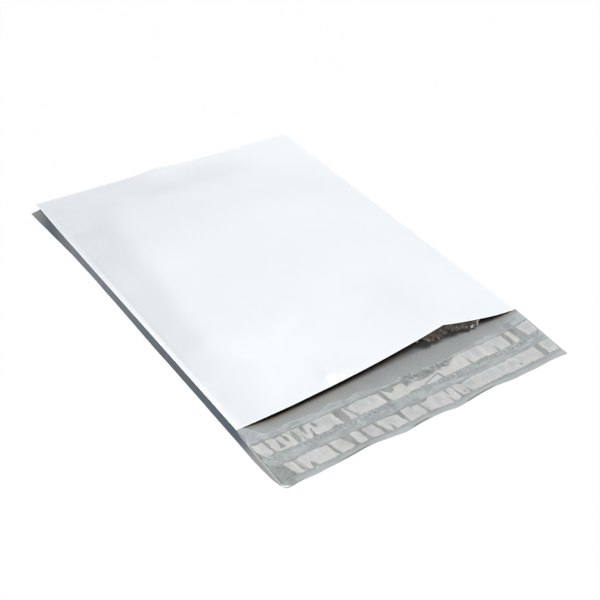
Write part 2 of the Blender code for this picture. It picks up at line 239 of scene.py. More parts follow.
OUTER_GAPS = [
    (-122.0, -119.4, 10.0, 15.0, 12.4, -0.2, 1.1),
    (-108.6, -105.0, 1.0, 0.9, 1.4, -0.05, 1.2),
    (-106.4, -103.0, 0.6, 0.8, 0.8, 0.14, 1.2),
    (-98.2, -97.2, 1.0, 4.6, 3.2, 0.58, 1.04),
    (-79.8, -76.8, 1.6, 3.2, 2.4, -0.05, 1.04),
    (-65.2, -62.4, 8.6, 3.6, 5.8, -0.1, 0.88),
    (-52.6, -51.8, 3.0, 5.8, 3.2, -0.1, 1.06),
    (-41.0, -37.0, 2.4, 5.2, 3.0, -0.05, 1.05),
    (-31.0, -30.6, 0.4, 2.6, 1.8, 0.54, 1.02),
    (-19.8, -18.2, 5.6, 1.4, 3.0, -0.1, 0.96),
    (-8.0, -8.0, 1.4, 0.6, 1.2, -0.05, 0.26),
    (-1.6, -0.4, 2.6, 3.6, 2.2, -0.1, 1.06),
    (23.8, 23.4, 1.6, 0.8, 1.0, -0.05, 0.46),
    (21.8, 22.4, 0.4, 2.0, 1.2, 0.58, 1.02),
    (30.0, 30.4, 1.4, 3.8, 1.3, -0.05, 1.04),
    (34.8, 34.8, 1.4, 1.4, 1.8, 0.58, 0.74),
    (38.0, 39.2, 0.8, 4.6, 2.4, 0.46, 1.02),
    (89.4, 89.8, 0.8, 1.4, 2.0, 0.58, 0.78),
    (113.4, 113.0, 5.4, 5.2, 5.4, -0.1, 1.08),
]

# Creases of the liner where it is drawn tight, lifted a little and painted dark as shade: start and end (mm),
# width (mm) and strength
LINER_CREASES = [
    ((17.0, -28.4), (31.0, -24.2), 0.9, 0.85), ((31.0, -24.2), (32.4, -29.6), 1.5, 0.8),
    ((2.0, -30.4), (17.0, -29.6), 0.8, 0.8), ((32.0, -34.8), (55.0, -39.0), 0.7, 0.5),
    ((-50.0, -31.4), (-43.0, -35.0), 0.7, 0.6), ((109.5, -4.0), (111.0, -15.0), 5.5, 0.35),
    ((-19.0, -31.0), (-17.0, -40.5), 3.2, 0.3), ((-126.0, -26.0), (-112.0, -35.5), 0.8, 0.45),
    ((-123.0, -31.0), (-107.0, -38.5), 0.7, 0.35), ((-127.0, -37.0), (-117.0, -44.5), 1.0, 0.45),
    ((-118.5, -38.0), (-113.0, -54.0), 0.9, 0.45), ((-126.0, -56.0), (-116.0, -51.0), 1.2, 0.30),
]

# Square marks in the adhesive: place across the bag in millimetres and strength
INNER_MARKS = [
    (-105.0, 0.3), (-71.6, 0.4), (-65.0, 0.7), (-34.5, 0.8), (-26.5, 0.6), (61.0, 0.7), (70.6, 0.8),
    (82.5, 0.4), (91.4, 0.8), (121.0, 0.9),
]
OUTER_MARKS = [
    (-89.0, 0.3), (-71.0, 0.3), (-57.4, 0.4), (-46.2, 0.8), (-31.5, 0.6), (-26.4, 0.8), (-12.5, 0.7),
    (4.4, 0.3), (13.8, 0.9), (37.4, 0.4), (44.0, 1.0), (51.0, 0.3), (56.6, 0.9), (65.8, 1.0), (75.0, 1.0),
    (84.6, 1.0), (94.0, 1.0), (103.2, 0.5), (121.0, 0.9),
]
SQUARE_SIDE = 0.0058

# Crumpled film that hangs under the mouth's crease: share of the panel's width and depth in millimetres
CRUMPLE = [
    (0.600, 0.4), (0.630, 2.2), (0.648, 5.0), (0.664, 9.0), (0.680, 11.5), (0.698, 12.0), (0.711, 14.0),
    (0.724, 9.6), (0.738, 6.2), (0.762, 8.0), (0.785, 6.6), (0.808, 7.4), (0.832, 8.6), (0.848, 8.0),
    (0.856, 2.5),
]

# Colours of the adhesive: wetted, marked by a square, and seen through the gaps
PALE = (0.578, 0.574, 0.562)
MARK = (0.465, 0.497, 0.505)
OLIVE = (0.290, 0.308, 0.286)
OLIVE_DARK = (0.205, 0.218, 0.202)
WARM_STREAK = (1.01, 0.985, 0.945)

# Painted light and shade of the film, as factors on its colour
PANEL_PAINTED_SHADE = (1.14, 1.0, 0.84)
LINING = (0.98, 0.98, 0.98)
LINING_SHADED = (0.91, 0.90, 0.89)
LINING_WARM_SHADE = (0.62, 0.51, 0.42)
LINING_DEEP_SHADE = (0.07, 0.05, 0.04)
MARGIN_SHADE = (0.23, 0.30, 0.40)
MARGIN_REAR_SHADE = (0.62, 0.58, 0.56)
MARGIN_LIP_SHADE = (0.82, 0.80, 0.77)
UNDER_EDGE_SHADE = (0.46, 0.43, 0.40)
LIP_CORNER_SHADE = (0.74, 0.75, 0.71)
LIP_TIP_HIGHLIGHT = (2.5, 2.5, 2.55)

# Colours of the liner, with its painted shade, and the crumpled film's painted shade and highlights
VEIL_LIGHT = (0.70, 0.74, 0.755)
VEIL_BLUE = (0.27, 0.31, 0.33)
VEIL_SHADE = (0.20, 0.24, 0.25)
VEIL_SHADE_ALPHA = 0.62
CRUMPLE_SHADE = (0.055, 0.040, 0.032)
CRUMPLE_HIGHLIGHT = (0.62, 0.61, 0.60)

LAMP_COLOUR = (1.0, 0.99, 0.97)
WHITE = (1.0, 1.0, 1.0, 1.0)

# Camera that matches the photograph
CAMERA_TARGET = Vector((MIDDLE_X - 0.0038, MOUTH_Y + 0.1062, 0.0))
CAMERA_DISTANCE = 1.0215
CAMERA_AZIMUTH = -33.94
CAMERA_ELEVATION = 37.23
CAMERA_ROLL = 0.55
CAMERA_LENS = 77.54


def clamp(value):
    return np.clip(value, 0.0, 1.0)


def ease(value):
    """Smooth step from 0 to 1."""
    t = clamp(value)
    return t * t * (3 - 2 * t)


def curl(distance, reach):
    """1 up to an edge, falling smoothly to 0 at the reach inside it."""
    return clamp(1 - distance / reach) ** 2


def mix(a, b, share):
    return a + np.subtract(b, a) * share


def edge_step(inside, width=0.0004):
    """0 outside a border and 1 inside it, softened over the width."""
    return ease((inside + 0.0002) / width)


def in_mm(x, y):
    """Places across the bag from its middle line and up the bag from its mouth."""
    return (x - MIDDLE_X) / MM, (y - MOUTH_Y) / MM


def at_across(rows, x):
    """Value at a place across the bag, from rows of place and value in millimetres."""
    places, values = np.array(rows).T * MM
    return np.interp(x, MIDDLE_X + places, values)


def at_along(rows, y):
    """Value at a place up the bag, from rows of place and value in millimetres."""
    places, values = np.array(rows).T * MM
    return np.interp(y - MOUTH_Y, places, values)


def opaque(colour):
    """Colours of points with an alpha of 1, one row for each point."""
    return np.concatenate([colour, np.ones((*colour.shape[:-1], 1))], axis=-1).reshape(-1, 4)


def noise(x, y, cell, seed=0):
    """Smooth value noise from -1 to 1 with the given cell size, the same on every run."""
    u = np.asarray(x) / cell
    v = np.asarray(y) / cell
    column = np.floor(u)
    row = np.floor(v)
    su = ease(u - column)
    sv = ease(v - row)

    def corner(i, j):
        value = np.sin((column + i) * 127.1 + (row + j) * 311.7 + seed * 74.7) * 43758.5453
        return 2 * (value - np.floor(value)) - 1

    low = mix(corner(0, 0), corner(1, 0), su)
    high = mix(corner(0, 1), corner(1, 1), su)
    return mix(low, high, sv)


def ridged(x, y, cell, seed=0):
    """Sharp-crested noise from 0 to 1, like crumpled film."""
    return 1 - np.abs(noise(x, y, cell, seed))


def across(x):
    return clamp((x - CREST_X) / PANEL_WIDTH)


def down_lip(y):
    return clamp((MOUTH_Y - y) / LIP_LENGTH)


def up_pouch(y):
    return clamp((y - MOUTH_Y) / POUCH_LENGTH)


def left_lift(y):
    on_lip = mix(LEFT_MOUTH_LIFT, LEFT_TIP_LIFT, 1 - (1 - down_lip(y)) ** 2)
    return np.where(y < MOUTH_Y, on_lip, mix(LEFT_MOUTH_LIFT, LEFT_REAR_LIFT, up_pouch(y)))


def right_lift(y):
    on_lip = mix(RIGHT_MOUTH_LIFT, RIGHT_TIP_LIFT, down_lip(y))
    return np.where(y < MOUTH_Y, on_lip, mix(RIGHT_MOUTH_LIFT, RIGHT_REAR_LIFT, up_pouch(y)))


def rear_lift(x):
    share = across(x)
    bump = REAR_BUMP * curl(np.abs(share - REAR_BUMP_AT) * PANEL_WIDTH, REAR_BUMP_SPREAD)
    return mix(LEFT_REAR_LIFT, RIGHT_REAR_LIFT, share) + bump


def lip_edge_lift(x):
    return np.stack([at_across(LIP_EDGE_LIFT, x + step * MM) for step in (-3, 0, 3)]).mean(axis=0)


def lip_relief(x, y):
    """Low waves of the lip and of its free edge, nothing inside the pouch."""
    on_lip = ease((MOUTH_Y - y) / 0.020)
    near_edge = curl(y - LIP_EDGE_Y, 0.020)
    broad = 0.5 + 0.5 * noise(x, y, 0.034, 3)
    small = 0.5 + 0.5 * noise(x, y * 0.6, 0.011, 5)
    return on_lip * (0.0004 * broad + near_edge * (0.0003 * broad + 0.0005 * small)) * ease(across(x) / 0.07)


def band_bend(x):
    return at_across(BAND_BEND, x)


def back_height(x, y):
    """Underside of the back panel and the lip: flat on the floor in the middle, lifted at the edges."""
    left = curl(x - CREST_X - WELD, LEFT_REACH)
    right = curl(RIGHT_X - WELD - x, RIGHT_REACH)
    rear = curl(REAR_Y - FOLD - y, REAR_REACH)
    lip = curl(y - LIP_EDGE_Y, LIP_REACH)
    height = left_lift(y) * left + right_lift(y) * right
    height = height + rear * (rear_lift(x) - left_lift(REAR_Y) * left - right_lift(REAR_Y) * right)
    ends = left_lift(LIP_EDGE_Y) * left + right_lift(LIP_EDGE_Y) * right
    height = height + lip * (lip_edge_lift(x) - ends)
    return np.maximum(0.0, height) + lip_relief(x, y)


def lip_top(x, y):
    return back_height(x, y) + FILM


def corner_shift(x, y):
    """How far points near the lip's left corner move up the bag to make the corner round."""
    outer = CREST_X - MARGIN_TIP_OUT
    inside = clamp((outer + CORNER_RADIUS - x) / CORNER_RADIUS)
    return CORNER_RADIUS * (1 - np.sqrt(1 - inside ** 2)) * curl(y - LIP_EDGE_Y, 0.022)


def edge_draw(x, y):
    """How far the lip's right edge is drawn in towards its corner."""
    return -LIP_DRAW * down_lip(y) ** 2 * ease((x - RIGHT_X + 0.030) / 0.030)


def mouth_rise(x):
    share = across(x)
    left = (share / CREASE_AT) ** LEFT_RISE_POWER
    right = ((1 - share) / (1 - CREASE_AT)) ** RIGHT_FALL_POWER
    return MOUTH_PEAK * np.where(share < CREASE_AT, left, right)


def mouth_opening(x):
    """Height of the front panel's edge above the floor at the mouth."""
    return mix(LEFT_MOUTH_LIFT, RIGHT_MOUTH_LIFT, across(x)) + mouth_rise(x)


def fold_line(x, y, start, end, half_width, height):
    """A soft fold along a line, given in millimetres, that tapers to nothing at both ends."""
    across_bag, up_bag = in_mm(x, y)
    step_x, step_y = across_bag - start[0], up_bag - start[1]
    run_x, run_y = end[0] - start[0], end[1] - start[1]
    along = (step_x * run_x + step_y * run_y) / (run_x ** 2 + run_y ** 2)
    off = (step_x * run_y - step_y * run_x) / math.hypot(run_x, run_y)
    taper = ease(along / 0.3) * ease((1 - along) / 0.3)
    return height * MM * taper * np.exp(-(off / half_width) ** 2)


def mouth_facet(x, y):
    """The low ridge behind the mouth's edge, steep towards the mouth and highest at one place."""
    across_bag, up_bag = in_mm(x, y)
    height = np.interp(across_bag, (-53, -43, -38, -4), (0.0, 1.9, 0.8, 0.0))
    ridge = np.interp(across_bag, (-53, -43, -4), (6.0, 10.5, 3.0))
    before = clamp(up_bag / ridge)
    behind = np.exp(-(np.maximum(0.0, up_bag - ridge) / 12) ** 1.5)
    return height * MM * np.where(up_bag < ridge, before, behind)


def facet_glint(x, y):
    """1 on the small triangle of painted highlight on the ridge behind the mouth's edge."""
    across_bag, up_bag = in_mm(x, y)
    top = np.interp(across_bag, (-49, -44, -30), (3.5, 10.5, 3.5))
    within = ease((top - up_bag) / 1.6) * ease((up_bag - 1.0) / 2.5)
    return within * ease((across_bag + 49) / 2) * ease((-30 - across_bag) / 6)


def panel_relief(x, y):
    """Soft folds and broad unevenness of the front panel."""
    height = sum(fold_line(x, y, *fold) for fold in PANEL_FOLDS) + mouth_facet(x, y)
    height = height + 0.00020 * noise(x, y, 0.055, 11) + 0.00012 * noise(x, y, 0.019, 12)
    pucker = curl(np.minimum(x - CREST_X, RIGHT_X - x), 0.022)
    height = height + pucker * 0.00022 * noise(x * 0.3, y, 0.009, 13)
    rear = curl(REAR_Y - y, 0.030)
    return height + rear * 0.00028 * noise(x, y * 0.4, 0.012, 14)


def plateau(x, y):
    """Share of the pouch's full height: rises from each long edge to a soft shoulder, level between."""
    left = (x - CREST_X) / at_along(LEFT_SHOULDER, y)
    right = (RIGHT_X - x) / RIGHT_SHOULDER
    blend = 9.0
    total = np.exp(-blend * left) + np.exp(-blend * right) + math.exp(-blend)
    return np.maximum(0.0, -np.log(total) / blend)


def front_height(x, y):
    """Height that the front panel would have without its welds."""
    share = across(x)
    edge_line = mix(left_lift(y), right_lift(y), share)
    rear_line = mix(left_lift(REAR_Y), right_lift(REAR_Y), share)
    rear = curl(REAR_Y - y, REAR_REACH)
    dome = DOME * plateau(x, y) * ease((REAR_Y - y) / DOME_REAR_RUN)
    at_mouth = 1 - ease((y - MOUTH_Y) / CREASE_FADE)
    return edge_line + rear * (rear_lift(x) - rear_line) + mix(dome, mouth_rise(x), at_mouth)


def pouch_gap(x, y):
    """Height of the hollow between the two panels, nothing at the welds and the fold."""
    free = front_height(x, y) - back_height(x, y) + panel_relief(x, y)
    inside = np.minimum(np.minimum(x - CREST_X - WELD, RIGHT_X - WELD - x), REAR_Y - FOLD - y)
    return np.maximum(0.0, free) * (1 - curl(inside, EDGE_FADE))


def offset_profile(x, z, distance):
    """Shift cross-sections, one in each row of the arrays, square to their lines."""
    dx = np.diff(x, axis=1)
    dz = np.diff(z, axis=1)
    length = np.hypot(dx, dz)
    nx = -dz / length
    nz = dx / length
    before_x, before_z = (np.concatenate([n[:, :1], n], axis=1) for n in (nx, nz))
    after_x, after_z = (np.concatenate([n, n[:, -1:]], axis=1) for n in (nx, nz))
    turn = 1 + before_x * after_x + before_z * after_z
    return x + distance * (before_x + after_x) / turn, z + distance * (before_z + after_z) / turn


def add_object(name, data):
    made = bpy.data.objects.new(name, data)
    bpy.context.scene.collection.objects.link(made)
    return made


class Shell:
    """Collects grids of points and quads over them, then becomes one mesh object."""

    def __init__(self):
        self.points = []
        self.count = 0
        self.faces = []
        self.slots = []

    def layer(self, x, y, z):
        rows, columns = np.shape(z)
        grid = np.stack([np.broadcast_to(x, z.shape), np.broadcast_to(y, z.shape), z], axis=-1)
        self.points.append(grid.reshape(-1, 3))
        index = self.count + np.arange(rows * columns).reshape(rows, columns)
        self.count += rows * columns
        return index

    def quads(self, index, up, slot=0):
        a, b, c, d = index[:-1, :-1], index[:-1, 1:], index[1:, 1:], index[1:, :-1]
        corners = (a, b, c, d) if up else (a, d, c, b)
        cells = np.stack(corners, axis=-1).reshape(-1, 4).tolist()
        self.faces.extend(cells)
        self.slots.extend([slot] * len(cells))

    def ribbon(self, lower, upper, slot=0):
        """Quads between two lines of points that run the same way."""
        for step in range(len(lower) - 1):
            self.face([lower[step], lower[step + 1], upper[step + 1], upper[step]], slot)

    def face(self, points, slot=0):
        self.faces.append([int(point) for point in points])
        self.slots.append(slot)

    def build(self, name, materials, sharp_degrees=60, attributes=()):
        points = np.concatenate(self.points)
        used = np.unique(np.concatenate([np.asarray(face) for face in self.faces]))
        renumbered = np.full(len(points), -1)
        renumbered[used] = np.arange(len(used))
        faces = [[int(renumbered[point]) for point in face] for face in self.faces]
        mesh = bpy.data.meshes.new(name)
        mesh.from_pydata(points[used].tolist(), [], faces)
        for material in materials:
            mesh.materials.append(material)
        mesh.polygons.foreach_set("material_index", self.slots)
        mesh.shade_smooth()
        mesh.set_sharp_from_angle(angle=math.radians(sharp_degrees))
        for label, values in attributes:
            layer = mesh.attributes.new(label, "FLOAT_COLOR", "POINT")
            layer.data.foreach_set("color", np.asarray(values, np.float32)[used].ravel())
        mesh.update()
        return add_object(name, mesh)


def margin_foot(y):
    """Lower edge of the left margin, as x and z."""
    wander = 0.0002 * noise(y, 0 * y, 0.022, 21)
    lift = MARGIN_REAR_LIFT * curl(REAR_Y - MARGIN_NOTCH - y, MARGIN_REAR_REACH) + 0.0002
    return CREST_X - at_along(MARGIN_LINE, y) + wander, lift


def film_columns():
    left = mix(CREST_X + WELD, CREASE_X, (np.arange(LEFT_CELLS + 1) / LEFT_CELLS) ** GRADING)
    right = np.linspace(CREASE_X, RIGHT_X - WELD, RIGHT_CELLS + 1)
    return np.concatenate([[CREST_X, CREST_X + RIM], left, right[1:], [RIGHT_X - RIM, RIGHT_X]])


def film_rows():
    middle = MOUTH_Y + POUCH_LENGTH / 2
    notch = REAR_Y - MARGIN_NOTCH
    lip = mix(LIP_EDGE_Y - LIP_OVERHANG, MOUTH_Y, (np.arange(LIP_ROWS + 1) / LIP_ROWS) ** GRADING)
    front = MOUTH_Y + (middle - MOUTH_Y) * (np.arange(1, FRONT_ROWS + 1) / FRONT_ROWS) ** FRONT_GRADING
    rear = notch - (notch - middle) * (np.arange(REAR_ROWS - 1, -1, -1) / REAR_ROWS) ** GRADING
    return np.concatenate([lip, front, rear, [REAR_Y - FOLD, REAR_Y]])


def film_profile(columns, rows):
    """Underside of the film: the margin's slope up to the panel's left edge, then across to the right."""
    flat_x = np.broadcast_to(columns, (len(rows), len(columns)))
    flat_y = np.broadcast_to(rows[:, None], flat_x.shape)
    height = back_height(flat_x, flat_y)
    foot_x, foot_z = margin_foot(rows)
    share = np.arange(MARGIN_CELLS) / MARGIN_CELLS
    margin_x = mix(foot_x[:, None], CREST_X, share ** MARGIN_SPREAD)
    margin_z = mix(foot_z[:, None], height[:, :1], share ** MARGIN_BOW)
    return np.concatenate([margin_x, flat_x], axis=1), np.concatenate([margin_z, height], axis=1)


def panel_painted_light(x, y):
    """Painted light and shade on the white film: greyer where it slopes along the left edge and by the bottom
    fold.
    """
    wander = 0.07 * noise(x, y, 0.031, 81) + 0.03 * noise(x, y, 0.008, 82)
    share = (x - CREST_X) / at_along(LEFT_SHOULDER, y) + wander
    # Painted shade where the film slopes along the left edge, stronger towards the rear
    slope = 1 - ease((share - 0.58) / 0.62)
    painted_shade = slope * mix(0.030, 0.104, ease((y - MOUTH_Y - 0.04) / 0.25)) * (1 + 0.18 * noise(x, y, 0.018, 83))
    # Painted shade in faint patches by the bottom fold
    rear = sum(fold_line(x, y, *patch) for patch in REAR_PATCHES)
    painted_shade = painted_shade + rear * (1 + 0.3 * noise(x, y, 0.017, 84)) * (1 - slope)
    painted_shade = painted_shade + 0.004 * noise(x, y, 0.045, 85) + 0.004 * noise(x, y, 0.011, 86)
    beside = x - CREST_X
    along = y - MOUTH_Y
    # Painted light and shade beside the left edge: lighter towards the mouth, darker towards the rear, and a
    # faint darker stripe
    painted_shade = painted_shade - 0.085 * ease(1 - beside / 0.008) * ease((0.24 - along) / 0.06)
    painted_shade = painted_shade + 0.030 * ease(1 - beside / 0.022) * ease((along - 0.24) / 0.05)
    stripe = ease((beside - 0.004) / 0.006) * ease((0.028 - beside) / 0.014)
    painted_shade = painted_shade + 0.016 * stripe * ease((0.15 - along) / 0.05)
    # Painted highlight along the film's edges
    to_edge = np.minimum(np.minimum(x - CREST_X, RIGHT_X - x), np.minimum(y - MOUTH_Y, REAR_Y - y))
    rim = ease(1.3 - to_edge / RIM)[..., None]
    # Painted light: the film is made lighter towards the rear, most on the right
    far = ease((up_pouch(y) - 0.65) / 0.25)
    painted_shade = painted_shade - 0.016 * ease((x - MIDDLE_X + 0.020) / 0.080) * ease((up_pouch(y) - 0.35) / 0.20)
    rear_light = mix(0.008, 0.060, ease((x - MIDDLE_X + 0.060) / 0.120))
    level = (mix(0.963, 1.034, up_pouch(y)) + far * rear_light)[..., None]
    # Painted highlight on the small triangle behind the mouth's edge
    glint = facet_glint(x, y)[..., None]
    return mix(level - painted_shade[..., None] * PANEL_PAINTED_SHADE + 0.07 * glint, 1.13, rim)


def lining_painted_light(x, y, margin_columns):
    """Painted light and shade on the grey side: shade on the margin, dark brown shade inside the pouch, a
    highlight at the curled tip.
    """
    behind = y - MOUTH_Y - DARK_DEPTH * mouth_opening(x - DARK_SHIFT * mouth_opening(x))
    # Painted shade on the lining under the mouth's edge, turning dark brown inside the pouch
    tone = mix(LINING, LINING_SHADED, ease((behind + 0.024) / 0.018)[..., None])
    tone = mix(tone, LINING_WARM_SHADE, ease((behind + 0.0088) / 0.0050)[..., None])
    tone = mix(tone, LINING_DEEP_SHADE, ease((behind + 0.0058) / 0.0034)[..., None])
    near_edge = ease((LIP_EDGE_Y + 0.0055 - y) / 0.002)
    tone = tone * (1 + 0.14 * near_edge * (1 + 0.5 * noise(x, y, 0.006, 87)))[..., None]
    # Painted shade on the left margin, which faces away from the light: lighter towards the rear and on the
    # lip
    rear = ease((y - REAR_Y + 0.034) / 0.024)[..., None]
    on_lip = ease((MOUTH_Y - y) / 0.030)[..., None]
    margin_shade = mix(mix(MARGIN_SHADE, MARGIN_REAR_SHADE, rear), MARGIN_LIP_SHADE, on_lip)
    tone[:, :margin_columns] = margin_shade[:, :margin_columns]
    # Painted highlight along the crest of the lip's left edge
    rim = ease(1.1 - np.abs(x - CREST_X) / RIM) * ease((MOUTH_Y - y + 0.001) / 0.002)
    tone = tone * (1 + 0.30 * rim)[..., None]
    # Painted shade under the lip's free edge where it rises
    rise = lip_edge_lift(x) - lip_edge_lift(x - 0.010)
    under = ease((LIP_EDGE_Y + 0.0010 - y) / 0.0007) * ease((rise - 0.0004) / 0.0006)
    tone = tone * mix(1.0, UNDER_EDGE_SHADE, under[..., None])
    # Painted shade in the lip's bent-down left corner
    inwards = (x - CREST_X) / MM
    outwards = (MOUTH_Y - y) / MM
    corner = ease((outwards - 57.0 + 0.5 * np.maximum(0.0, inwards - 4)) / 1.5) * ease((11 - inwards) / 2)
    tone = tone * mix(1.0, LIP_CORNER_SHADE, corner[..., None])
    # Painted highlight on the curled tip of the lip's left corner
    tip = np.exp(-((inwards - 1.3) / 2.9) ** 4 - ((outwards - 58.5 - 0.50 * inwards) / 0.8) ** 2)
    return mix(tone, LIP_TIP_HIGHLIGHT, tip[..., None])


def make_film(white, grey):
    """The one sheet of film: back panel, lip, margin and front panel, closed round its own thickness."""
    columns = film_columns()
    rows = film_rows()
    mouth = LIP_ROWS
    notch = len(rows) - 3
    fold = len(rows) - 2
    crest = MARGIN_CELLS
    weld_left = crest + 2
    last = crest + len(columns) - 1
    weld_right = last - 2
    x, z = film_profile(columns, rows)
    y = np.broadcast_to(rows[:, None], x.shape)
    y = y + corner_shift(x, y)
    x = x + edge_draw(x, y)
    over_x, over_z = offset_profile(x, z, 2 * FILM)
    inner_x, inner_z = offset_profile(x, z, FILM)
    pouch = slice(weld_left + 1, weld_right)
    over_x[:, pouch] = x[:, pouch]
    over_z[:, pouch] = z[:, pouch] + 2 * FILM + pouch_gap(x[:, pouch], y[:, pouch])
    ceiling_x, ceiling_z = offset_profile(over_x[:, crest:], over_z[:, crest:], -FILM)

    shell = Shell()
    outer_back = shell.layer(x, y, z)
    inner_back = shell.layer(inner_x, y, inner_z)
    outer_front = shell.layer(over_x, y, over_z)
    inner_front = inner_back.copy()
    ceiling = shell.layer(ceiling_x, y[:, crest:], ceiling_z)
    inner_front[mouth:fold, pouch] = ceiling[mouth:fold, weld_left + 1 - crest:weld_right - crest]

    shell.quads(outer_back[:notch + 1], False, 0)
    shell.quads(outer_back[notch:, crest:], False, 0)
    shell.quads(inner_back[:mouth + 1], True, 1)
    shell.quads(inner_back[mouth:notch + 1, :crest + 1], True, 1)
    shell.quads(inner_back[mouth:fold + 1, weld_left:weld_right + 1], True, 1)
    shell.quads(inner_front[mouth:fold + 1, weld_left:weld_right + 1], False, 1)
    shell.quads(outer_front[mouth:, crest:], True, 0)

    shell.ribbon(outer_back[0], inner_back[0])
    shell.ribbon(inner_front[mouth, crest:], outer_front[mouth, crest:])
    shell.ribbon(outer_front[-1, crest:], outer_back[-1, crest:])
    shell.ribbon(inner_back[notch, :crest + 1], outer_back[notch, :crest + 1])
    shell.ribbon(inner_back[:notch + 1, 0], outer_back[:notch + 1, 0])
    shell.ribbon(outer_front[mouth:notch + 1, crest], inner_back[mouth:notch + 1, crest])
    shell.face([outer_back[notch + 1, crest], outer_back[notch, crest], inner_back[notch, crest],
                outer_front[notch, crest], outer_front[notch + 1, crest]])
    shell.ribbon(outer_front[notch + 1:, crest], outer_back[notch + 1:, crest])
    shell.ribbon(outer_back[:mouth + 1, last], inner_back[:mouth + 1, last])
    shell.face([outer_back[mouth, last], outer_back[mouth + 1, last], outer_front[mouth + 1, last],
                outer_front[mouth, last], inner_back[mouth, last]])
    shell.ribbon(outer_back[mouth + 1:, last], outer_front[mouth + 1:, last])
    # Painted light and shade at the film's points, as factors on its colour; the back panel's underside has
    # none
    tones = (np.ones((*x.shape, 3)), lining_painted_light(x, y, crest), panel_painted_light(over_x, y),
             lining_painted_light(ceiling_x, y[:, crest:], 0))
    colours = np.concatenate([tone.reshape(-1, 3) for tone in tones])
    return shell.build("mailer_film", [white, grey], 40, [("tone", opaque(colours))])


def sheet_between(shell, x, y, low, high):
    """A thin closed sheet between two height grids."""
    under = shell.layer(x, y, low)
    over = shell.layer(x, y, high)
    shell.quads(under, False)
    shell.quads(over, True)
    shell.ribbon(under[0], over[0])
    shell.ribbon(over[-1], under[-1])
    shell.ribbon(over[:, 0], under[:, 0])
    shell.ribbon(under[:, -1], over[:, -1])


def band_contact(x, share, gaps):
    """1 where the band is wetted onto the liner and 0 in the gaps, for a share down the band."""
    ragged = 0.0005 * noise(x, share * 0.012, 0.0022, 31) + 0.0003 * noise(x, share * 0.012, 0.0009, 32)
    ends = 0.05 * noise(x, 0 * x, 0.0035, 33)
    contact = np.ones_like(x)
    for upper, lower, upper_width, lower_width, middle_width, begin, end in gaps:
        t = (share + ends - begin) / (end - begin)
        centre = MIDDLE_X + mix(upper, lower, clamp(t)) * MM
        width = mix(upper_width, lower_width, clamp(t))
        straight = (upper_width + lower_width) / 2
        width = (width + (middle_width - straight) * 4 * clamp(t) * (1 - clamp(t))) * MM
        inside = width / 2 - np.abs(x - centre + ragged)
        within = ease((t + 0.04) / 0.08) * ease((1.04 - t) / 0.08)
        contact = contact * (1 - edge_step(inside) * within)
    return contact


def squares(x, share, band_width, marks):
    """Strength of the square marks along a band, 0 outside them."""
    half = SQUARE_SIDE / 2
    inside_y = 1.1 * half - np.abs(share - 0.40) * band_width
    strength = np.zeros_like(x)
    for place, weight in marks:
        inside_x = half - np.abs(x - MIDDLE_X - place * MM)
        strength = np.maximum(strength, weight * edge_step(np.minimum(inside_x, inside_y), 0.0005))
    return strength


def make_band(name, start, width, gaps, marks, material):
    """One band of adhesive, with its gaps and square marks as a colour on each point."""
    left = CREST_X + BAND_LEFT_INSET
    right = RIGHT_X - BAND_RIGHT_INSET
    x = np.broadcast_to(np.linspace(left, right, BAND_COLUMNS + 1), (BAND_ROWS + 1, BAND_COLUMNS + 1))
    top = MOUTH_Y - start
    y = np.broadcast_to(np.linspace(top - width, top, BAND_ROWS + 1)[:, None], x.shape)
    y = y + 0.0003 * noise(x, y, 0.006, 41)
    share = (top - y) / width
    y = y + band_bend(x)
    rim = np.minimum(share, 1 - share) * width
    lobes = np.maximum(0.0, noise(x, 3 * np.round(share), 0.0085, 48)) ** 2
    ragged_rim = 0.0004 + 0.0022 * lobes + 0.0005 * noise(x, share, 0.0036, 46)
    ragged_rim = ragged_rim + 0.0003 * noise(x, share, 0.0015, 47)
    contact = band_contact(x, share, gaps) * edge_step(rim - ragged_rim)
    ragged_top = MOUTH_Y + at_across(RAGGED_TOP, x) + 0.0004 * noise(x, 0 * x, 0.0016, 49)
    contact = contact * edge_step(ragged_top - y)
    seat = lip_top(x, y) + LAYER_GAP
    x = x + edge_draw(x, y)
    high = seat + ADHESIVE * (0.35 + 0.65 * contact) + 0.00004 * noise(x, y, 0.002, 42)
    shell = Shell()
    sheet_between(shell, x, y, seat, high)
    mark = squares(x, share, width, marks)
    streak = clamp(0.5 + 0.7 * noise(x - 0.35 * y, 0.15 * y, 0.0022, 44))
    island = 0.97 + 0.05 * noise(x, 0 * x, 0.013, 43) + 0.03 * noise(x, y, 0.004, 45)
    island = island + 0.09 * ridged(x, 0.12 * y, 0.0042, 40) ** 4
    island = island - 0.09 * ridged(x, 0.12 * y, 0.0050, 39) ** 6
    warm = ridged(x - 0.15 * y, 0.10 * y, 0.0050, 38) ** 6 * (1 - mark)
    tint = mix(PALE, MARK, mark[..., None]) * island[..., None]
    tint = tint * mix(1.0, WARM_STREAK, warm[..., None])
    dark = mix(OLIVE_DARK, OLIVE, streak[..., None])
    outline = 4 * contact * (1 - contact)
    colour = mix(dark, tint, contact[..., None]) * (1 - 0.12 * outline)[..., None]
    return shell.build(name, [material], 60, [("tint", np.tile(opaque(colour), (2, 1)))])


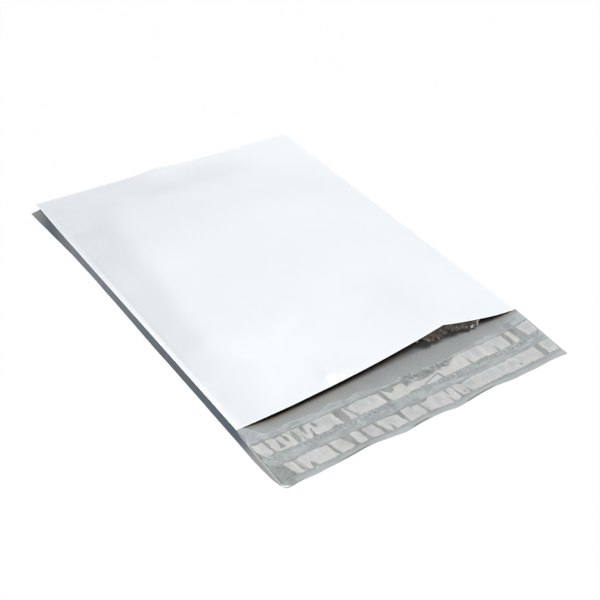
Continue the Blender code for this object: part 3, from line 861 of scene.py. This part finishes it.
def tunnel_height(x, y):
    """Lift of the liner over the gaps of both bands, in metres."""
    lift = np.zeros_like(x)
    for start, width, gaps in ((INNER_BAND_START, INNER_BAND_WIDTH, INNER_GAPS),
                               (OUTER_BAND_START, OUTER_BAND_WIDTH, OUTER_GAPS)):
        share = (MOUTH_Y - start - y + band_bend(x)) / width
        for upper, lower, upper_width, lower_width, middle_width, begin, end in gaps:
            t = (share - begin) / (end - begin)
            centre = MIDDLE_X + mix(upper, lower, clamp(t)) * MM
            half = 0.6 * max(upper_width, lower_width, middle_width) * MM + 0.0004
            tall = min(0.0011, 0.40 * half + 0.0002)
            along = ease((t + 0.25) / 0.3) * ease((1.25 - t) / 0.3)
            lift = np.maximum(lift, tall * along * np.exp(-((x - centre) / half) ** 2))
    return lift


def liner_top(x):
    near = np.stack([at_across(LINER_TOP, x + step * MM) for step in (-1.6, -0.8, 0.0, 0.8, 1.6)])
    wave = 0.0003 * noise(x, 0 * x, 0.0042, 51)
    return MOUTH_Y + near.mean(axis=0) + wave + 0.0001 * noise(x, 0 * x, 0.0015, 52)


def crease_line(x, y, start, stop, width):
    """1 on a line between two places given in millimetres, falling to 0 at half the width from it."""
    across_bag, up_bag = in_mm(x, y)
    step_x, step_y = across_bag - start[0], up_bag - start[1]
    run_x, run_y = stop[0] - start[0], stop[1] - start[1]
    along = clamp((step_x * run_x + step_y * run_y) / (run_x ** 2 + run_y ** 2))
    off = np.hypot(step_x - along * run_x, step_y - along * run_y)
    return ease((0.75 * width - off) / (0.5 * width))


def make_liner(material):
    """The clear release film over both bands, with its lobes, ripples and creases."""
    left = CREST_X + BAND_LEFT_INSET
    right = RIGHT_X - BAND_RIGHT_INSET
    line = np.linspace(left, right, LINER_COLUMNS + 1)
    foot = MOUTH_Y - LINER_START - LINER_WIDTH + LINER_FOOT_WAVE * noise(line, 0 * line, 0.017, 53)
    foot = foot + band_bend(line)
    share = (np.arange(LINER_ROWS + 1) / LINER_ROWS)[:, None]
    y = mix(foot, liner_top(line), share)
    end = clamp((left + 0.008 - line) / 0.008)
    x = line + end * 0.0016 * (noise(0 * y, y, 0.0065, 50) - 0.3)
    down = MOUTH_Y - y + band_bend(x)
    free = ease((INNER_BAND_START + 0.0006 - down) / 0.0010)
    crumpled = ease((x - MIDDLE_X - 0.001) / 0.005) * ease((MIDDLE_X + 0.052 - x) / 0.008)
    crumpled = crumpled * ease((0.0250 - down) / 0.004)
    seat = lip_top(x, y) + 2 * LAYER_GAP + ADHESIVE
    fine = 0.5 + 0.5 * noise(x, y, 0.0040, 54)
    below_inner = INNER_BAND_START + INNER_BAND_WIDTH
    between = ease((down - below_inner) / 0.0008) * ease((OUTER_BAND_START - down) / 0.0008)
    ripple = ridged(x, y * 0.35, 0.0075, 55) ** 3
    creases = ridged(x, y, 0.0036, 56) ** 2 * (0.4 + 0.6 * ridged(x, y, 0.0017, 57))
    swell = 0.5 + 0.5 * noise(x, y * 0.8, 0.010, 65)
    pinch = np.zeros_like(x)
    for start, stop, width, strength in LINER_CREASES:
        pinch = np.maximum(pinch, strength * crease_line(x, y, start, stop, width))
    lift = tunnel_height(x, y) + 0.00010 * fine + 0.0005 * pinch
    lift = lift + free * 0.0006 * swell + crumpled * 0.0014 * creases + between * 0.00035 * ripple
    low = seat + lift
    shell = Shell()
    sheet_between(shell, x + edge_draw(x, y), y, low, low + LINER)

    warp = 0.0035 * noise(x, y, 0.0060, 62)
    blotch = ease((noise(x + warp, 1.5 * y + warp, 0.0085, 63) + 0.15) / 0.20)
    # Painted shade in the folds of the crumpled part
    dark_fold = crumpled * ease((noise(x + warp, y, 0.0021, 66) - 0.02) / 0.12)
    streaks = ease((noise(x + 2 * warp, 3.2 * y, 0.0055, 64) - 0.10) / 0.20)
    edge = curl(liner_top(line) - y, 0.0016) * free
    veil = np.full(x.shape, 0.07) + 0.04 * noise(x, y, 0.005, 58)
    flat_end = ease((CREST_X + 0.0150 - x) / 0.003)
    veil = veil + free * (1 - crumpled) * (0.12 + 0.09 * blotch + 0.12 * flat_end) + 0.05 * edge
    # Painted highlights on the crests of the crumpled part
    veil = veil + crumpled * 0.75 * (creases - 0.30)
    veil = veil + 0.12 * between * (ripple - 0.35) + between * (0.09 + 0.12 * blotch)
    shade_blue = clamp(0.45 * streaks * between + 0.20 * free * (1 - blotch))
    veil = veil + 0.08 * shade_blue
    colour = mix(VEIL_LIGHT, VEIL_BLUE, shade_blue[..., None])
    # Painted shadow lines along the liner's lower edge and below the inner band
    foot_line = np.exp(-((y - foot[None, :] - 0.0006) / 0.00045) ** 2)
    band_foot = below_inner + 0.0004 * noise(x, 0 * x, 0.009, 60)
    band_line = 0.55 * np.exp(-((down - band_foot) / 0.0004) ** 2)
    shade = np.maximum(0.5 * foot_line, band_line * (0.5 + 0.5 * noise(x, 0 * x, 0.02, 61)))
    # Painted shade in the drawn creases and in the folds of the crumpled part
    shade = np.maximum(np.maximum(shade, pinch), 0.6 * dark_fold)
    colour = mix(colour, VEIL_SHADE, shade[..., None])
    veil = clamp(mix(veil, VEIL_SHADE_ALPHA, shade))
    rgba = np.concatenate([colour, veil[..., None]], axis=-1).reshape(-1, 4)
    return shell.build("release_film", [material], 60, [("veil", np.tile(rgba, (2, 1)))])


def make_tear_line(material):
    """The row of perforations between the bands, as thin dark dashes laid just above the film."""
    shell = Shell()
    row = MOUTH_Y - SLIT_PLACE
    for centre in np.arange(CREST_X + 0.006, RIGHT_X - 0.004, SLIT_PITCH):
        x, y = np.meshgrid(np.linspace(centre - SLIT_LENGTH / 2, centre + SLIT_LENGTH / 2, 4),
                           np.linspace(row - SLIT_WIDTH / 2, row + SLIT_WIDTH / 2, 2))
        y = y + band_bend(x)
        low = lip_top(x, y) + SLIT_LIFT
        sheet_between(shell, x + edge_draw(x, y), y, low, low + LAYER_GAP)
    return shell.build("tear_slits", [material])


def make_crumple(material):
    """The crumpled strip of film that hangs under the mouth's crease, coloured with painted shade and
    highlights.
    """
    shares = np.array([p[0] for p in CRUMPLE])
    depths = np.array([p[1] for p in CRUMPLE]) * MM
    line = np.linspace(CREST_X + shares[0] * PANEL_WIDTH, CREST_X + shares[-1] * PANEL_WIDTH, CRUMPLE_COLUMNS)
    down = np.linspace(0, 1, CRUMPLE_ROWS)[:, None]
    depth = np.interp(across(line), shares, depths)
    edge_y = MOUTH_Y + 0.0014
    top = back_height(line, edge_y + 0 * line) + FILM + pouch_gap(line, edge_y + 0 * line) - 0.0002
    x = np.broadcast_to(line, (CRUMPLE_ROWS, CRUMPLE_COLUMNS))
    z = top - depth * down
    twist = 0.0016 * noise(line, z, 0.0060, 74)
    folds = ridged(x + twist, z - twist, 0.0048, 71) - 0.5 + 0.4 * (ridged(x - twist, z, 0.0021, 72) - 0.5)
    y = edge_y + 0.0022 * down ** 0.6 * folds - 0.0010 * down
    x = x + 0.0007 * down * noise(line, z, 0.0028, 73)
    floor = back_height(x, y) + FILM + 0.0002
    z = np.maximum(z, floor + 0.0002)
    shell = Shell()
    front = shell.layer(x, y, z)
    back = shell.layer(x, y + 0.00012, z)
    shell.quads(front, False)
    shell.quads(back, True)
    shell.ribbon(back[0], front[0])
    shell.ribbon(front[-1], back[-1])
    shell.ribbon(front[:, 0], back[:, 0])
    shell.ribbon(back[:, -1], front[:, -1])
    # Painted highlights on the crumple's crests, at its right end and in one spot
    glint = ease((ridged(x + twist, z * 1.3, 0.0030, 75) - 0.86) / 0.14)
    glint = glint * (0.3 + 0.7 * ease((folds - 0.1) / 0.4))
    tip = np.exp(-((line - line[-1]) / 0.0016) ** 2) * np.exp(-((down - 0.55) / 0.35) ** 2)
    dot = np.exp(-((line - line[-1] + 0.0062) ** 2 + (depth * (down - 0.75)) ** 2) / 0.0009 ** 2)
    bright = clamp(0.55 * glint + 1.3 * tip + 1.5 * dot)
    colour = mix(CRUMPLE_SHADE, CRUMPLE_HIGHLIGHT, bright[..., None])
    return shell.build("mouth_crumple", [material], 25, [("tone", np.tile(opaque(colour), (2, 1)))])


def add_node(owner, kind, **inputs):
    """A new node in a material or world, with its input values set by name."""
    node = owner.node_tree.nodes.new(kind)
    for name, value in inputs.items():
        node.inputs[name.replace("_", " ")].default_value = value
    return node


def new_material(name, colour, roughness, specular=0.5):
    material = bpy.data.materials.new(name)
    material.use_nodes = True
    shader = material.node_tree.nodes["Principled BSDF"]
    shader.inputs["Base Color"].default_value = (*colour, 1.0)
    shader.inputs["Roughness"].default_value = roughness
    shader.inputs["Specular IOR Level"].default_value = specular
    return material, shader


def object_noise(material, scale, detail=2.0, stretch=(1, 1, 1)):
    """Noise texture in object coordinates; scale is in cells per metre."""
    links = material.node_tree.links
    coordinates = add_node(material, "ShaderNodeTexCoord")
    mapping = add_node(material, "ShaderNodeMapping", Scale=stretch)
    texture = add_node(material, "ShaderNodeTexNoise", Scale=scale, Detail=detail)
    links.new(coordinates.outputs["Object"], mapping.inputs["Vector"])
    links.new(mapping.outputs["Vector"], texture.inputs["Vector"])
    return texture.outputs["Fac"]


def ramp(material, source, low, high):
    """Colour that runs from low to high over the middle of the source's range."""
    node = add_node(material, "ShaderNodeValToRGB")
    for element, place, colour in zip(node.color_ramp.elements, (0.3, 0.7), (low, high)):
        element.position = place
        element.color = (*colour, 1.0)
    material.node_tree.links.new(source, node.inputs["Fac"])
    return node.outputs["Color"]


def patchy_roughness(material, shader, scale, low, high):
    patches = ramp(material, object_noise(material, scale), (low,) * 3, (high,) * 3)
    material.node_tree.links.new(patches, shader.inputs["Roughness"])


def bump(material, shader, source, distance, after=None):
    node = add_node(material, "ShaderNodeBump", Strength=1.0, Distance=distance)
    material.node_tree.links.new(source, node.inputs["Height"])
    if after is not None:
        material.node_tree.links.new(after, node.inputs["Normal"])
    material.node_tree.links.new(node.outputs["Normal"], shader.inputs["Normal"])
    return node.outputs["Normal"]


def attribute_node(material, name):
    node = add_node(material, "ShaderNodeAttribute")
    node.attribute_name = name
    return node


def paint_toned(material, shader, colour):
    """Base colour from a colour times the painted light and shade held at each point."""
    links = material.node_tree.links
    node = add_node(material, "ShaderNodeVectorMath")
    node.operation = "MULTIPLY"
    links.new(colour, node.inputs[0])
    links.new(attribute_node(material, "tone").outputs["Color"], node.inputs[1])
    links.new(node.outputs["Vector"], shader.inputs["Base Color"])


def white_film_material():
    material, shader = new_material("white_film", (0.86, 0.88, 0.90), 0.36)
    tint = ramp(material, object_noise(material, 14, 3.0), (0.850, 0.874, 0.898), (0.872, 0.890, 0.908))
    paint_toned(material, shader, tint)
    patchy_roughness(material, shader, 45, 0.30, 0.44)
    first = bump(material, shader, object_noise(material, 260, 3.0), 0.00006)
    bump(material, shader, object_noise(material, 2200, 1.0), 0.000006, first)
    return material


def grey_film_material():
    material, shader = new_material("grey_film", (0.37, 0.39, 0.39), 0.33)
    drawn = object_noise(material, 60, 3.0, (1.0, 0.25, 1.0))
    paint_toned(material, shader, ramp(material, drawn, (0.345, 0.366, 0.368), (0.385, 0.402, 0.400)))
    patchy_roughness(material, shader, 90, 0.26, 0.42)
    bump(material, shader, object_noise(material, 320, 3.0), 0.00008)
    return material


def adhesive_material():
    material, shader = new_material("adhesive_band", (0.62, 0.62, 0.60), 0.38)
    tint = attribute_node(material, "tint")
    material.node_tree.links.new(tint.outputs["Color"], shader.inputs["Base Color"])
    patchy_roughness(material, shader, 500, 0.30, 0.46)
    bump(material, shader, object_noise(material, 900), 0.00004)
    return material


def liner_material():
    material, shader = new_material("clear_liner", (0.60, 0.64, 0.66), 0.14)
    links = material.node_tree.links
    veil = attribute_node(material, "veil")
    links.new(veil.outputs["Color"], shader.inputs["Base Color"])
    links.new(veil.outputs["Alpha"], shader.inputs["Alpha"])
    patchy_roughness(material, shader, 300, 0.08, 0.22)
    bump(material, shader, object_noise(material, 420, 3.0), 0.00008)
    return material


def crumple_material():
    material, shader = new_material("crumpled_film", (0.06, 0.05, 0.045), 0.10, 0.35)
    # Dark brown painted shade with painted highlights, from the colours at the crumple's points
    paint_toned(material, shader, ramp(material, object_noise(material, 380, 3.0), (0.6,) * 3, (1.6,) * 3))
    bump(material, shader, object_noise(material, 520), 0.00012)
    return material


def slit_material():
    material, shader = new_material("slit_edge", (0.13, 0.145, 0.15), 0.6)
    shade = ramp(material, object_noise(material, 900, 1.0), (0.10, 0.12, 0.14), (0.22, 0.25, 0.27))
    material.node_tree.links.new(shade, shader.inputs["Base Color"])
    return material


def seen_directly(nodes, links):
    """1 for rays that show the background itself: from the camera, or by way of gloss or clear film."""
    path = nodes.new("ShaderNodeLightPath")
    total = path.outputs["Is Camera Ray"]
    for ray in ("Is Glossy Ray", "Is Transmission Ray"):
        either = nodes.new("ShaderNodeMath")
        either.operation = "MAXIMUM"
        links.new(total, either.inputs[0])
        links.new(path.outputs[ray], either.inputs[1])
        total = either.outputs[0]
    return total


def make_floor():
    mesh = bpy.data.meshes.new("floor")
    half = 3.0
    level = -0.0004
    mesh.from_pydata([(-half, -half, level), (half, -half, level), (half, half, level), (-half, half, level)],
                     [], [(0, 1, 2, 3)])
    floor = add_object("floor", mesh)
    material, shader = new_material("pale_floor", (0.93, 0.93, 0.93), 0.9)
    nodes = material.node_tree.nodes
    links = material.node_tree.links
    glow = add_node(material, "ShaderNodeEmission", Color=WHITE)
    share = nodes.new("ShaderNodeMath")
    share.operation = "MULTIPLY"
    share.inputs[1].default_value = 0.975
    blend = nodes.new("ShaderNodeMixShader")
    links.new(seen_directly(nodes, links), share.inputs[0])
    links.new(share.outputs[0], blend.inputs["Fac"])
    links.new(shader.outputs["BSDF"], blend.inputs[1])
    links.new(glow.outputs["Emission"], blend.inputs[2])
    links.new(blend.outputs["Shader"], nodes["Material Output"].inputs["Surface"])
    mesh.materials.append(material)


def make_world():
    world = bpy.data.worlds.new("studio")
    bpy.context.scene.world = world
    world.use_nodes = True
    nodes = world.node_tree.nodes
    links = world.node_tree.links
    nodes.clear()
    output = nodes.new("ShaderNodeOutputWorld")
    blend = nodes.new("ShaderNodeMixShader")
    room = add_node(world, "ShaderNodeBackground", Color=(0.92, 0.955, 1.0, 1.0), Strength=0.38)
    backdrop = add_node(world, "ShaderNodeBackground", Color=WHITE, Strength=1.0)
    links.new(seen_directly(nodes, links), blend.inputs["Fac"])
    links.new(room.outputs["Background"], blend.inputs[1])
    links.new(backdrop.outputs["Background"], blend.inputs[2])
    links.new(blend.outputs["Shader"], output.inputs["Surface"])


def add_softbox(name, place, target, side, watts):
    lamp = bpy.data.lights.new(name, "AREA")
    lamp.shape = "RECTANGLE"
    lamp.size = side
    lamp.size_y = side
    lamp.energy = watts
    lamp.color = LAMP_COLOUR
    softbox = add_object(name, lamp)
    softbox.location = place
    aim = Vector(target) - Vector(place)
    softbox.rotation_euler = aim.to_track_quat("-Z", "Y").to_euler()


def make_camera():
    turn = (Matrix.Rotation(math.radians(CAMERA_AZIMUTH), 4, "Z")
            @ Matrix.Rotation(math.radians(90 - CAMERA_ELEVATION), 4, "X")
            @ Matrix.Rotation(math.radians(CAMERA_ROLL), 4, "Z"))
    lens = bpy.data.cameras.new("camera")
    lens.sensor_width = 36.0
    lens.lens = CAMERA_LENS
    lens.clip_start = 0.01
    camera = add_object("camera", lens)
    place = CAMERA_TARGET + turn @ Vector((0.0, 0.0, CAMERA_DISTANCE))
    camera.matrix_world = Matrix.Translation(place) @ turn
    bpy.context.scene.camera = camera


bpy.context.scene.view_settings.view_transform = "Standard"
make_camera()
make_world()
make_floor()
add_softbox("key", (0.17, -0.80, 1.80), (0.0, 0.0, 0.0), 0.8, 28.5)
add_softbox("front", (-0.05, -1.0, 0.40), (0.0, -0.13, 0.0), 0.4, 1.2)

white_film = white_film_material()
grey_film = grey_film_material()
adhesive = adhesive_material()

film = make_film(white_film, grey_film)
inner_band = make_band("adhesive_inner", INNER_BAND_START, INNER_BAND_WIDTH, INNER_GAPS, INNER_MARKS,
                       adhesive)
outer_band = make_band("adhesive_outer", OUTER_BAND_START, OUTER_BAND_WIDTH, OUTER_GAPS, OUTER_MARKS,
                       adhesive)
liner = make_liner(liner_material())
crumple = make_crumple(crumple_material())
slits = make_tear_line(slit_material())

for piece in (film, inner_band, outer_band, liner, crumple, slits):
    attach(piece, "root")
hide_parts("bag_film")
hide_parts("adhesive_strip_inner")
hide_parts("adhesive_strip_outer")
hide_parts("release_liner")
